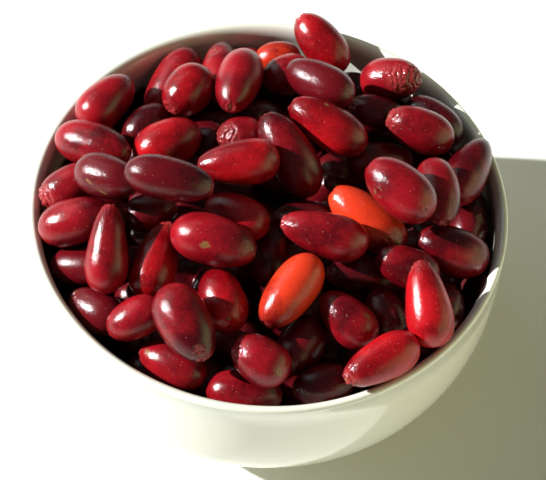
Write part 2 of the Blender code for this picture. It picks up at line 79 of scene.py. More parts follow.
Pixel = tuple[float, float]
Point = tuple[float, float]
Grain = tuple[float, float]
Range = tuple[float, float]
Colour = tuple[float, float, float]
Socket = bpy.types.NodeSocket


class Graph:
    """A node tree while it is wired. A value that is a socket gets linked, and any other is set."""

    def __init__(self, tree: bpy.types.NodeTree) -> None:
        """Starts on an empty tree.

        Args:
            tree: The geometry or shader tree that the nodes go in.
        """
        self.tree = tree
        self.tree.nodes.clear()

    def add(self, kind: str, inputs: Mapping[Any, Any] | None = None, **settings: Any) -> bpy.types.Node:
        """Adds one node.

        Args:
            kind: The node's type name.
            inputs: What each input gets, by name or number.
            settings: Properties set on the node before its inputs.

        Returns:
            The new node.
        """
        node = self.tree.nodes.new(kind)
        for name, value in settings.items():
            setattr(node, name, value)
        for key, value in (inputs or {}).items():
            if isinstance(value, Socket):
                self.tree.links.new(value, node.inputs[key])
            else:
                node.inputs[key].default_value = value
        return node

    def math(self, operation: str, *values: Any) -> Socket:
        """Gives the result of a Math node."""
        return self.add("ShaderNodeMath", dict(enumerate(values)), operation=operation).outputs[0]

    def times(self, *values: Any) -> Socket:
        """Gives the product of numbers, taken from left to right."""
        return reduce(lambda first, second: self.math("MULTIPLY", first, second), values)

    def plus(self, *values: Any) -> Socket:
        """Gives the sum of numbers, taken from left to right."""
        return reduce(lambda first, second: self.math("ADD", first, second), values)

    def minus(self, first: Any, second: Any) -> Socket:
        """Gives the first number less the second."""
        return self.math("SUBTRACT", first, second)

    def vector(self, operation: str, *values: Any) -> Socket:
        """Gives the vector result of a Vector Math node."""
        return self.add("ShaderNodeVectorMath", dict(enumerate(values)), operation=operation).outputs[0]

    def scaled(self, vector: Any, factor: Any) -> Socket:
        """Gives a vector times a number."""
        node = self.add("ShaderNodeVectorMath", {0: vector, "Scale": factor}, operation="SCALE")
        return node.outputs[0]

    def combine(self, x: Any, y: Any, z: Any) -> Socket:
        """Gives the vector of three numbers."""
        return self.add("ShaderNodeCombineXYZ", {0: x, 1: y, 2: z}).outputs[0]

    def split(self, vector: Any) -> Sequence[Socket]:
        """Gives a vector's three numbers."""
        return self.add("ShaderNodeSeparateXYZ", {0: vector}).outputs

    def ease(self, value: Any, start: Any, end: Any, low: Any = 0.0, high: Any = 1.0) -> Socket:
        """Goes smoothly from low to high while value goes from start to end.

        Args:
            value: What is eased.
            start: Where the result is low.
            end: Where the result is high.
            low: The result at and before start.
            high: The result at and after end.

        Returns:
            The eased number.
        """
        inputs = {0: value, 1: start, 2: end, 3: low, 4: high}
        return self.add("ShaderNodeMapRange", inputs, interpolation_type="SMOOTHSTEP").outputs[0]

    def noise(self, place: Any, scale: float, detail: float = 2.0, roughness: float = 0.5) -> Socket:
        """Gives a noise number from 0 to 1 with its middle at 0.5."""
        inputs = {"Vector": place, "Scale": scale, "Detail": detail, "Roughness": roughness}
        return self.add("ShaderNodeTexNoise", inputs).outputs[0]

    def cells(self, place: Any, scale: float, feature: str = "F1") -> bpy.types.Node:
        """Gives a Voronoi node that parts space in cells."""
        return self.add("ShaderNodeTexVoronoi", {"Vector": place, "Scale": scale}, feature=feature)

    def blend(self, share: Any, first: Any, second: Any) -> Socket:
        """Blends two colours.

        Args:
            share: 0 for the first and 1 for the second.
            first: The first colour.
            second: The second colour.

        Returns:
            The colour.
        """
        colours = {
            6: first if isinstance(first, Socket) else (*first, 1.0),
            7: second if isinstance(second, Socket) else (*second, 1.0),
        }
        return self.add("ShaderNodeMix", {0: share, **colours}, data_type="RGBA").outputs[2]


class MaterialGraph(Graph):
    """A material's tree, with the place on the piece in object coordinates."""

    def __init__(self, name: str) -> None:
        """Makes an empty material.

        Args:
            name: The material's name.
        """
        self.material = bpy.data.materials.new(name)
        self.material.use_nodes = True
        super().__init__(self.material.node_tree)
        self.place = self.add("ShaderNodeTexCoord").outputs["Object"]

    def stored(self, name: str) -> Socket:
        """Gives a number kept on the mesh under a name."""
        return self.add("ShaderNodeAttribute", attribute_name=name).outputs["Fac"]

    def grain(self, grain: Grain, detail: float = 2.0) -> Socket:
        """Gives a noise of the grain's scale, times its share."""
        return self.times(self.noise(self.place, grain[0], detail), grain[1])

    def bump(self, height: Socket, strength: float, depth: float) -> Socket:
        """Gives the surface's direction under a relief."""
        inputs = {"Strength": strength, "Distance": depth, "Height": height}
        return self.add("ShaderNodeBump", inputs).outputs[0]

    def finish(self, inputs: Mapping[str, Any]) -> bpy.types.Material:
        """Ends the tree in a Principled shader.

        Args:
            inputs: What each of the shader's inputs gets.

        Returns:
            The material.
        """
        shader = self.add("ShaderNodeBsdfPrincipled", inputs)
        self.add("ShaderNodeOutputMaterial", {"Surface": shader.outputs[0]})
        return self.material


class GeometryGraph(Graph):
    """A Geometry Nodes tree with named inputs."""

    def __init__(self, name: str, floats: Sequence[str], ints: Sequence[str] = ()) -> None:
        """Makes the tree, its inputs and its output.

        Args:
            name: The tree's name.
            floats: The names of its number inputs.
            ints: The names of its whole-number inputs.
        """
        tree = bpy.data.node_groups.new(name, "GeometryNodeTree")
        super().__init__(tree)
        kinds = {"Geometry": "Geometry", **dict.fromkeys(ints, "Int"), **dict.fromkeys(floats, "Float")}
        for label, kind in (kinds | {"Material": "Material"}).items():
            tree.interface.new_socket(label, in_out="INPUT", socket_type="NodeSocket" + kind)
        tree.interface.new_socket("Geometry", in_out="OUTPUT", socket_type="NodeSocketGeometry")
        self.given = self.add("NodeGroupInput").outputs

    def position(self) -> Socket:
        """Gives the place of each point."""
        return self.add("GeometryNodeInputPosition").outputs[0]

    def normal(self) -> Socket:
        """Gives the surface's direction at each point."""
        return self.add("GeometryNodeInputNormal").outputs[0]

    def stored(self, name: str) -> Socket:
        """Gives a number kept on the mesh under a name."""
        node = self.add("GeometryNodeInputNamedAttribute", {"Name": name}, data_type="FLOAT")
        return node.outputs[0]

    def store(self, geometry: Socket, name: str, value: Any) -> Socket:
        """Keeps a number on each point under a name and gives the mesh."""
        inputs = {"Geometry": geometry, "Name": name, "Value": value}
        return self.add("GeometryNodeStoreNamedAttribute", inputs, data_type="FLOAT").outputs[0]

    def moved(self, geometry: Socket, **inputs: Any) -> Socket:
        """Gives the mesh with its points at Position or shifted by Offset."""
        return self.add("GeometryNodeSetPosition", {"Geometry": geometry, **inputs}).outputs[0]

    def finish(self, geometry: Socket) -> None:
        """Ends the tree: realized, shaded smooth and with its material.

        Args:
            geometry: The finished mesh.
        """
        smooth = self.add("GeometryNodeSetShadeSmooth", {"Geometry": geometry}).outputs[0]
        real = self.add("GeometryNodeRealizeInstances", {"Geometry": smooth}).outputs[0]
        painted = self.add("GeometryNodeSetMaterial", {0: real, "Material": self.given["Material"]})
        self.add("NodeGroupOutput", {0: painted.outputs[0]})

    def run(self, mesh: bpy.types.Mesh, values: Mapping[str, Any]) -> bpy.types.Mesh:
        """Runs the tree on a mesh.

        Args:
            mesh: The mesh that the tree starts from.
            values: What each named input gets.

        Returns:
            The result as a plain mesh.
        """
        holder = bpy.data.objects.new("holder", mesh)
        bpy.context.scene.collection.objects.link(holder)
        modifier = holder.modifiers.new("Tree", "NODES")
        modifier.node_group = self.tree
        for item in self.tree.interface.items_tree:
            if item.in_out == "INPUT" and item.name in values:
                modifier[item.identifier] = values[item.name]
        evaluated = holder.evaluated_get(bpy.context.evaluated_depsgraph_get())
        result = bpy.data.meshes.new_from_object(evaluated)
        bpy.data.objects.remove(holder, do_unlink=True)
        return result


@dataclass(frozen=True)
class PictureView:
    """The photograph's view of the bowl, in its own pixels."""

    width: float = 546.0
    height: float = 480.0
    focal_length: float = 2921.0
    rim_centre: Pixel = (268.8, 207.3)
    rim_height: float = 64.5 * MM
    distance: float = 0.9
    elevation: float = math.radians(54.3)
    roll: float = math.radians(3.6)
    sensor: float = 36.0

    def axes(self) -> tuple[Vector, Vector, Vector]:
        """Turns the picture's directions.

        Returns:
            Right, up and towards the viewer.
        """
        tilt = Matrix.Rotation(math.pi / 2 - self.elevation, 3, "X")
        turned = tilt @ Matrix.Rotation(self.roll, 3, "Z")
        return turned.col[0].copy(), turned.col[1].copy(), turned.col[2].copy()

    def place(self) -> Vector:
        """Gives where the camera stands."""
        return Vector((0, 0, self.rim_height)) + self.axes()[2] * self.distance

    def sight(self, pixel: Pixel) -> Vector:
        """Gives the direction in which a pixel looks.

        Args:
            pixel: The place in the picture.

        Returns:
            The direction, with length 1.
        """
        right, up, back = self.axes()
        across = (pixel[0] - self.rim_centre[0]) / self.focal_length
        above = (self.rim_centre[1] - pixel[1]) / self.focal_length
        return (right * across + up * above - back).normalized()

    def add_camera(self) -> None:
        """Adds the camera, aimed at the middle of the picture."""
        back = -self.sight((self.width / 2, self.height / 2))
        right = self.axes()[1].cross(back).normalized()
        data = bpy.data.cameras.new("camera")
        data.sensor_fit = "HORIZONTAL"
        data.sensor_width = self.sensor
        data.lens = self.focal_length * self.sensor / self.width
        camera = bpy.data.objects.new("camera", data)
        turn = Matrix((right, back.cross(right), back)).transposed().to_4x4()
        camera.matrix_world = Matrix.Translation(self.place()) @ turn
        bpy.context.scene.collection.objects.link(camera)
        bpy.context.scene.camera = camera


VIEW = PictureView()


@dataclass(frozen=True)
class Glaze:
    """Off-white glossy glaze, with bare clay under the foot and a painted shade of dark red on the inside,
    under the fruits.
    """

    white: Colour = (0.75, 0.76, 0.66)
    warm: Colour = (0.74, 0.74, 0.58)
    warm_share: float = 0.45
    warm_edge: Range = (0.35, 0.75)
    cloud_scale: float = 38.0
    clay: Colour = (0.66, 0.56, 0.42)
    bare_below: float = 1.2 * MM
    bare_edge: float = 0.6
    # Painted shade inside the bowl under the fruits: its colour, the level it starts below, its soft edge
    # and how that edge wanders.
    painted_shade: Colour = (0.07, 0.012, 0.012)
    painted_shade_level: float = 50.0 * MM
    painted_shade_edge: float = 4.0 * MM
    painted_shade_wander: Grain = (60.0, 6.0 * MM)
    middle_height: float = 40.0 * MM
    roughness: float = 0.14
    bare_roughness: float = 0.75
    gloss: float = 0.35
    gloss_roughness: float = 0.05
    grit: Grain = (1400.0, 0.12)
    ripple: Grain = (120.0, 1.0)
    relief_strength: float = 0.12
    relief_depth: float = 0.2 * MM

    def material(self) -> bpy.types.Material:
        """Makes the glaze.

        Returns:
            The material.
        """
        graph = MaterialGraph("white glaze")
        height = graph.split(graph.place)[2]
        cloud = graph.noise(graph.place, self.cloud_scale, 3.0)
        colour = graph.blend(graph.ease(cloud, *self.warm_edge, 0.0, self.warm_share), self.white, self.warm)
        bare = graph.ease(height, self.bare_below, self.bare_below * self.bare_edge)
        colour = graph.blend(bare, colour, self.clay)
        # Painted shade: the inside below the fruits turns dark red so the gaps between them look dark.
        colour = graph.blend(self.painted_shade_mask(graph, height), colour, self.painted_shade)
        relief = graph.plus(graph.grain(self.grit, 3.0), graph.grain(self.ripple))
        return graph.finish({
            "Base Color": colour,
            "Roughness": graph.ease(bare, 0.0, 1.0, self.roughness, self.bare_roughness),
            "Coat Weight": self.gloss,
            "Coat Roughness": self.gloss_roughness,
            "Normal": graph.bump(relief, self.relief_strength, self.relief_depth),
        })

    def painted_shade_mask(self, graph: MaterialGraph, height: Socket) -> Socket:
        """Wires the painted shade: dark red on faces towards the bowl's middle, below a level under the
        fruits.

        Args:
            graph: The material's tree.
            height: The height of the place.

        Returns:
            1 where the shade is painted and 0 elsewhere.
        """
        inwards = graph.vector("SUBTRACT", (0.0, 0.0, self.middle_height), graph.place)
        normal = graph.add("ShaderNodeNewGeometry").outputs["Normal"]
        facing = graph.add("ShaderNodeVectorMath", {0: normal, 1: inwards}, operation="DOT_PRODUCT")
        inside = graph.math("GREATER_THAN", facing.outputs["Value"], 0.0)
        level = graph.plus(height, graph.grain(self.painted_shade_wander, 3.0))
        low, high = self.painted_shade_level, self.painted_shade_level + self.painted_shade_edge
        return graph.times(inside, graph.ease(level, high, low))


@dataclass(frozen=True)
class Skin:
    """A ripe fruit's glossy skin, between a deep and a bright red, with pale specks, and paler creased
    places: partly their own colour, partly painted sheen.
    """

    label: str
    deep: Colour
    bright: Colour
    clouds: Grain = (90.0, 1.9)
    mottle: Grain = (900.0, 0.5)
    tone_shift: float = 1.2
    # Paler red of creased skin: partly the shrunk skin's own colour, partly painted sheen for the glints on
    # its folds.
    crease_tint_and_sheen: Colour = (0.42, 0.05, 0.05)
    crease_tint_and_sheen_share: float = 0.35
    speck: Colour = (0.74, 0.40, 0.34)
    speck_share: float = 0.7
    speck_spacing: float = 1.2 * MM
    speck_size: float = 0.11
    speck_drawn: Range = (0.45, 0.6)
    speck_rise: float = 0.12
    scab: Colour = (0.19, 0.088, 0.031)
    scab_scale: float = 620.0
    scab_raggedness: float = 2.2
    scab_edge: Range = (0.42, 0.62)
    scab_share: float = 0.9
    crease_size: float = 1.3 * MM
    crease_bend: float = 0.5
    crease_rise: float = 1.6
    bend_scale: float = 700.0
    pits: Grain = (2300.0, 1.0)
    waves: Grain = (420.0, 0.32)
    relief_strength: float = 0.5
    relief_depth: float = 0.22 * MM
    roughness: float = 0.32
    dull_roughness: float = 0.8
    dullness: Grain = (500.0, 0.2)
    ior: float = 1.08
    coat_ior: float = 1.45
    coat_roughness: float = 0.16

    def colour(self, graph: MaterialGraph) -> Socket:
        """Wires the skin's colour.

        Args:
            graph: The material's tree.

        Returns:
            The colour.
        """
        shades = graph.plus(graph.grain(self.clouds, 3.0), graph.grain(self.mottle))
        share = graph.plus(graph.stored("tone"), graph.minus(shades, self.tone_shift))
        colour = graph.blend(graph.ease(share, 0.0, 1.0), self.deep, self.bright)
        # Creased places turn a paler red: partly the shrunk skin's own colour, partly a painted sheen
        # standing for the glints on the folds.
        colour = graph.blend(graph.times(graph.stored("creased"), self.crease_tint_and_sheen_share), colour, self.crease_tint_and_sheen)
        colour = graph.blend(graph.times(self.specks(graph), self.speck_share), colour, self.speck)
        return graph.blend(self.scabs(graph), colour, self.scab)

    def specks(self, graph: MaterialGraph) -> Socket:
        """Wires small round specks.

        Args:
            graph: The material's tree.

        Returns:
            1 on a speck and 0 beside it.
        """
        cells = graph.cells(graph.place, 1 / self.speck_spacing)
        dot = graph.ease(cells.outputs["Distance"], self.speck_size, self.speck_size * 0.5)
        drawn = graph.split(cells.outputs["Color"])[0]
        return graph.times(dot, graph.ease(drawn, *self.speck_drawn))

    def scabs(self, graph: MaterialGraph) -> Socket:
        """Wires the corky patches, ragged at their edges and broken inside.

        Args:
            graph: The material's tree.

        Returns:
            How corky the place is, from 0 to 1.
        """
        ragged = graph.minus(graph.noise(graph.place, self.scab_scale, 5.0, 0.65), 0.5)
        share = graph.math("MULTIPLY_ADD", ragged, self.scab_raggedness, graph.stored("scab"))
        return graph.ease(share, *self.scab_edge, 0.0, self.scab_share)

    def relief(self, graph: MaterialGraph) -> Socket:
        """Wires the fine relief: soft pitting, specks that stand out and creases where it has shrunk.

        Args:
            graph: The material's tree.

        Returns:
            The skin's height.
        """
        inputs = {"Vector": graph.place, "Scale": self.bend_scale, "Detail": 2.0}
        drift = graph.add("ShaderNodeTexNoise", inputs).outputs["Color"]
        bend = graph.vector("SUBTRACT", drift, (0.5, 0.5, 0.5))
        bend = graph.scaled(bend, self.crease_bend * self.crease_size)
        warped = graph.vector("ADD", graph.place, bend)
        edge = graph.cells(warped, 1 / self.crease_size, "DISTANCE_TO_EDGE").outputs[0]
        folds = graph.times(graph.ease(edge, 0.0, 0.5, 0.0, self.crease_rise), graph.stored("creased"))
        bumps = graph.times(self.specks(graph), self.speck_rise)
        return graph.plus(folds, graph.plus(graph.grain(self.pits), graph.grain(self.waves), bumps))

    def material(self) -> bpy.types.Material:
        """Makes the skin.

        Returns:
            The material.
        """
        graph = MaterialGraph(self.label)
        dull = graph.math("MAXIMUM", graph.grain(self.dullness), self.scabs(graph))
        bump = graph.bump(self.relief(graph), self.relief_strength, self.relief_depth)
        return graph.finish({
            "Base Color": self.colour(graph),
            "Roughness": graph.ease(dull, 0.0, 1.0, self.roughness, self.dull_roughness),
            "IOR": self.ior,
            "Coat Weight": 1.0,
            "Coat Roughness": self.coat_roughness,
            "Coat IOR": self.coat_ior,
            "Normal": bump,
            "Coat Normal": bump,
        })


class Finish(Enum):
    """The fruits' skins, each with its slot in the record."""

    BRIGHT = ("bright_skin", Skin("bright red skin", (0.12, 0.001, 0.003), (0.43, 0.006, 0.010)))
    RED = ("red_skin", Skin("red skin", (0.05, 0.001, 0.003), (0.27, 0.005, 0.010)))
    DARK = (
        "dark_skin",
        Skin("dark skin", (0.014, 0.001, 0.002), (0.11, 0.003, 0.006), coat_roughness=0.2),
    )
    ORANGE = ("orange_skin", Skin("orange red skin", (0.12, 0.002, 0.003), (0.59, 0.036, 0.011)))

    @property
    def slot(self) -> str:
        """The record's material slot."""
        return self.value[0]

    @property
    def skin(self) -> Skin:
        """The skin's look."""
        return self.value[1]


class Kind(Enum):
    """What a mark on a skin is."""

    CREASED = "creased"
    SCAB = "scab"
    RING = "ring"
    CRACK = "crack"


@dataclass(frozen=True)
class Mark:
    """A mark that the photograph shows on a fruit, with its place in pixels and its reach in mm."""

    kind: Kind
    at: Pixel
    reach: float = 2.0
    to: Pixel | None = None


@dataclass(frozen=True)
class Look:
    """How one fruit looks: its skin, its tone and how that grows towards the tip, the shrunk stalk
    end's reach in mm, its folds and its marks.
    """

    finish: Finish
    tone: float = 0.5
    shrunk: float = 2.5
    folds: float = 0.1
    fade: float = 0.12
    marks: tuple[Mark, ...] = ()


BRIGHT, RED, DARK, ORANGE = Finish.BRIGHT, Finish.RED, Finish.DARK, Finish.ORANGE
CREASED, SCAB, RING, CRACK = Kind.CREASED, Kind.SCAB, Kind.RING, Kind.CRACK

LOOKS: tuple[Look, ...] = (
    Look(BRIGHT, 0.45, shrunk=3.5, folds=0.2),
    Look(RED, 0.7),
    Look(RED, 0.6, fade=0.3),
    Look(RED, 0.6),
    Look(BRIGHT, 0.35, shrunk=3.2),
    Look(BRIGHT, 0.55),
    Look(DARK, 0.6, shrunk=3.5),
    Look(DARK, 0.75, marks=(Mark(CRACK, (86, 179), 0.4, to=(106, 194)),)),
    Look(RED, 0.75, shrunk=5.5, marks=(Mark(CREASED, (42, 196), 5.0),)),
    Look(RED, 0.5, fade=0.25),
    Look(DARK, 0.9),
    Look(RED, 0.62, shrunk=3.0, folds=0.3),
    Look(DARK, 0.85, shrunk=4.5, folds=0.3),
    Look(BRIGHT, 0.5, shrunk=6.5, folds=0.2),
    Look(DARK, 0.8, marks=(Mark(RING, (72, 293), 1.2),)),
    Look(RED, 0.8),
    Look(RED, 0.35, shrunk=4.0, folds=0.2, marks=(Mark(CREASED, (199, 350), 2.5),)),
    Look(RED, 0.6, shrunk=3.5, marks=(Mark(SCAB, (147, 351), 1.2),)),
    Look(BRIGHT, 0.35, marks=(Mark(SCAB, (229, 319), 0.9),)),
    Look(ORANGE, 0.8, fade=0.7),
    Look(RED, 0.45, marks=(Mark(CREASED, (236, 352), 3.0), Mark(SCAB, (279, 372), 1.8))),
    Look(RED, 0.6),
    Look(DARK, 0.8),
    Look(RED, 0.45, marks=(Mark(SCAB, (368, 315), 1.5),)),
    Look(BRIGHT, 0.6, shrunk=5.0, folds=0.2, fade=0.3),
    Look(BRIGHT, 0.6, shrunk=5.0, folds=0.25),
    Look(DARK, 0.7, shrunk=4.0),
    Look(RED, 0.5),
    Look(DARK, 0.7, shrunk=4.5),
    Look(RED, 0.35),
    Look(DARK, 0.5, marks=(Mark(SCAB, (480, 218), 2.2),)),
    Look(RED, 0.65),
    Look(RED, 0.6, marks=(Mark(RING, (379, 193), 1.5), Mark(RING, (425, 209), 0.9))),
    Look(RED, 0.3),
    Look(RED, 0.5, shrunk=6.5, folds=0.2),
    Look(DARK, 0.3),
    Look(RED, 0.6, shrunk=6.0, folds=0.2, marks=(Mark(CREASED, (402, 77), 6.5),)),
    Look(DARK, 0.6, marks=(Mark(CREASED, (352, 106), 2.5),)),
    Look(BRIGHT, 0.35, marks=(Mark(SCAB, (326, 104), 1.1),)),
    Look(DARK, 0.75, shrunk=3.0),
    Look(RED, 0.6),
    Look(RED, 0.8, marks=(Mark(SCAB, (226, 58), 0.6),)),
    Look(RED, 0.7, shrunk=4.0, marks=(Mark(CREASED, (213, 48), 3.0),)),
    Look(RED, 0.3),
    Look(ORANGE, 0.45),
    Look(RED, 0.4),
    Look(RED, 0.65, shrunk=5.5, marks=(Mark(CREASED, (227, 135), 5.0),)),
    Look(BRIGHT, 0.4),
    Look(RED, 0.75),
    Look(RED, 0.65, fade=0.25, marks=(Mark(SCAB, (205, 245), 2.2),)),
    Look(RED, 0.55, shrunk=4.5, folds=0.25),
    Look(ORANGE, 0.8, fade=-0.55, marks=(Mark(RING, (397, 246), 1.1), Mark(RING, (388, 240), 0.9))),
    Look(DARK, 0.7),
    Look(DARK, 0.7),
    Look(DARK, 0.6),
)


@dataclass(frozen=True)
class Glazed:
    """The turned bowl. Its rim and height come from the frame, and the rest are its own sizes."""

    node: str = "bowl"
    lip: float = 3.7 * MM
    rounding: float = 1.1 * MM
    lip_turn: float = math.radians(40)
    slope: float = 4.5 * MM
    bead: float = 0.25 * MM
    wall: float = 3.2 * MM
    body_bottom: float = 3.5 * MM
    roundness: float = 3.7
    foot_radius: float = 33.0 * MM
    foot_width: float = 3.6 * MM
    foot_height: float = 4.4 * MM
    foot_edge: float = 0.7 * MM
    foot_recess: float = 2.4 * MM
    turns: int = 192
    wall_points: int = 44
    lip_points: int = 14
    edge_points: int = 5
    waviness: float = 0.12 * MM
    wave_scale: float = 22.0

    def section(self) -> list[Point]:
        """Draws the turned section.

        Returns:
            Points (radius, height), from the middle of the inside over the lip and foot to the axis.
        """
        low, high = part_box(self.node)
        rim, top = high[0], high[2]
        inner, depth = rim - self.lip, top - self.body_bottom
        inside = self.curve(inner, depth - self.wall, top)
        outside = self.curve(rim - self.bead, depth, top)
        lip = self.lip_curve(rim, top)
        low_side = [point for point in outside if point[0] > self.foot_radius + 3 * self.foot_edge]
        below_lip = [point for point in low_side if point[1] < lip[-1][1] - self.bead]
        above_wall = [point for point in reversed(inside) if point[1] < top - self.slope]
        return [(0.0, top - depth + self.wall), *above_wall, *lip, *below_lip, *self.foot()]

    def lip_curve(self, rim: float, top: float) -> list[Point]:
        """Gives the lip: a long slope inside its crest and a small round outside.

        Args:
            rim: The greatest radius.
            top: The rim's height.

        Returns:
            Points (radius, height).
        """
        crest, width = rim - self.rounding, self.lip - self.rounding
        rise = np.linspace(0.0, math.pi / 2, self.lip_points)
        turns = np.linspace(math.pi / 2, -self.lip_turn, self.lip_points)[1:]
        slope = [(crest - width * math.cos(a), top - self.slope * (1 - math.sin(a))) for a in rise]
        outside = [
            (crest + self.rounding * math.cos(a), top - self.rounding * (1 - math.sin(a))) for a in turns
        ]
        return slope + outside

    def curve(self, radius: float, depth: float, top: float) -> list[Point]:
        """Gives the rounded section from the rim down to the middle.

        Args:
            radius: The radius at the rim.
            depth: How far the middle lies below the rim.
            top: The rim's height.

        Returns:
            Points (radius, height).
        """
        turns = np.linspace(0.0, math.pi / 2, self.wall_points)[1:-1]
        across = radius * np.cos(turns) ** (2 / self.roundness)
        down = depth * np.sin(turns) ** (2 / self.roundness)
        return [(float(r), float(top - d)) for r, d in zip(across, down)]

    def foot(self) -> list[Point]:
        """Draws the foot ring with rounded edges, and the recess inside it.

        Returns:
            Points (radius, height).
        """
        outer, inner = self.foot_radius, self.foot_radius - self.foot_width
        edge = self.foot_edge
        turns = np.linspace(0.0, math.pi / 2, self.edge_points)
        first = [(outer - edge + edge * math.cos(a), edge - edge * math.sin(a)) for a in turns]
        second = [(inner + edge - edge * math.sin(a), edge - edge * math.cos(a)) for a in turns]
        recess = self.foot_recess
        corner = [(inner - edge * (1 - math.cos(a)), recess - edge * (1 - math.sin(a))) for a in turns]
        neck = [(outer + edge, self.foot_height), (outer, self.foot_height - edge)]
        return [*neck, *first, *second, *corner, (0.0, recess)]

    def tree(self) -> GeometryGraph:
        """Wires the tree that turns a section round the axis.

        Returns:
            The tree.
        """
        graph = GeometryGraph("Turned wall", ["Waviness"], ["Turns", "Points"])
        given = graph.given
        grid = graph.add(
            "GeometryNodeMeshGrid",
            {"Vertices X": graph.plus(given["Turns"], 1.0), "Vertices Y": given["Points"]},
        )
        u, v, _ = graph.split(grid.outputs["UV Map"])
        last = graph.minus(given["Points"], 1.0)
        index = graph.math("ROUND", graph.times(v, last))
        sample = graph.add(
            "GeometryNodeSampleIndex",
            {"Geometry": given["Geometry"], "Value": graph.position(), "Index": index},
            data_type="FLOAT_VECTOR",
        )
        radius, _, height = graph.split(sample.outputs[0])
        angle = graph.times(u, math.tau)
        x = graph.times(radius, graph.math("COSINE", angle))
        y = graph.times(radius, graph.math("SINE", angle))
        turned = graph.moved(grid.outputs["Mesh"], Position=graph.combine(x, y, height))
        closed = graph.add("GeometryNodeMergeByDistance", {"Geometry": turned, "Distance": MERGE_GAP})
        sway = graph.minus(graph.noise(graph.position(), self.wave_scale), 0.5)
        drawn_in = graph.times(graph.math("ABSOLUTE", graph.times(sway, given["Waviness"])), -1.0)
        out_x, out_y, _ = graph.split(graph.position())
        shift = graph.scaled(graph.vector("NORMALIZE", graph.combine(out_x, out_y, 0.0)), drawn_in)
        graph.finish(graph.moved(closed.outputs[0], Offset=shift))
        return graph

    def build(self) -> bpy.types.Object:
        """Makes the bowl.

        Returns:
            The bowl's object.
        """
        section = self.section()
        line = bpy.data.meshes.new("section")
        line.from_pydata([(r, 0.0, z) for r, z in section], [], [])
        glaze = Glaze().material()
        values = {"Turns": self.turns, "Points": len(section), "Waviness": self.waviness, "Material": glaze}
        mesh = self.tree().run(line, values)
        point_outwards(mesh)
        return add_piece("bowl_glazed", mesh, [self.node])


def point_outwards(mesh: bpy.types.Mesh) -> None:
    """Merges a closed mesh's doubles and turns its faces outwards.

    Args:
        mesh: The mesh, changed in place.
    """
    shell = bmesh.new()
    shell.from_mesh(mesh)
    bmesh.ops.remove_doubles(shell, verts=shell.verts, dist=MERGE_GAP)
    bmesh.ops.recalc_face_normals(shell, faces=shell.faces)
    if shell.calc_volume(signed=True) < 0:
        bmesh.ops.reverse_faces(shell, faces=shell.faces)
    shell.to_mesh(mesh)
    shell.free()


def add_piece(name: str, mesh: bpy.types.Mesh, nodes: Sequence[str]) -> bpy.types.Object:
    """Adds a finished mesh as a piece of the dish.

    Args:
        name: The piece's name.
        mesh: Its mesh, in place.
        nodes: The solids that it stands for.

    Returns:
        The piece's object.
    """
    piece = bpy.data.objects.new(name, mesh)
    mesh.name = name
    bpy.context.scene.collection.objects.link(piece)
    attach(piece, BODY)
    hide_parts(*nodes)
    LOG.info("%s: %d faces for %s", name, len(mesh.polygons), ", ".join(nodes))
    return piece


def welded(node: str) -> bpy.types.Mesh:
    """Copies a solid's mesh, merged and in place.

    Args:
        node: The solid's name.

    Returns:
        The copy.
    """
    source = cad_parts[node]
    shell = bmesh.new()
    shell.from_mesh(source.data)
    shell.transform(source.matrix_world)
    bmesh.ops.remove_doubles(shell, verts=shell.verts, dist=WELD_GAP)
    mesh = bpy.data.meshes.new(node + " merged")
    shell.to_mesh(mesh)
    shell.free()
    return mesh


def points_of(mesh: bpy.types.Mesh) -> np.ndarray:
    """Gives a mesh's vertices.

    Args:
        mesh: The mesh.

    Returns:
        One row for each.
    """
    flat = np.empty(len(mesh.vertices) * 3, dtype=np.float32)
    mesh.vertices.foreach_get("co", flat)
    return flat.reshape(-1, 3).astype(float)


def keep_in_box(mesh: bpy.types.Mesh) -> None:
    """Shifts a mesh by what it stands out of the solids' box.

    Args:
        mesh: The mesh, changed in place.
    """
    points = points_of(mesh)
    low, high = np.array(CAD_BOX[0]), np.array(CAD_BOX[1])
    shift = np.maximum(low - points.min(axis=0), 0.0) - np.maximum(points.max(axis=0) - high, 0.0)
    mesh.transform(Matrix.Translation(Vector(shift)))


def nearness(gap: np.ndarray, size: float, edge: Range) -> np.ndarray:
    """Goes smoothly from 1 to 0 through an edge.

    Args:
        gap: The distance.
        size: What the edge is measured in.
        edge: Where the result leaves 1 and where it gets to 0.

    Returns:
        The nearness.
    """
    start, end = edge[0] * size, edge[1] * size
    share = np.clip((gap - start) / (end - start), 0.0, 1.0)
    return 1 - share * share * (3 - 2 * share)


def hump(offset: np.ndarray) -> np.ndarray:
    """Gives 1 where an offset is zero, and less on both sides."""
    return np.exp(-(offset**2))


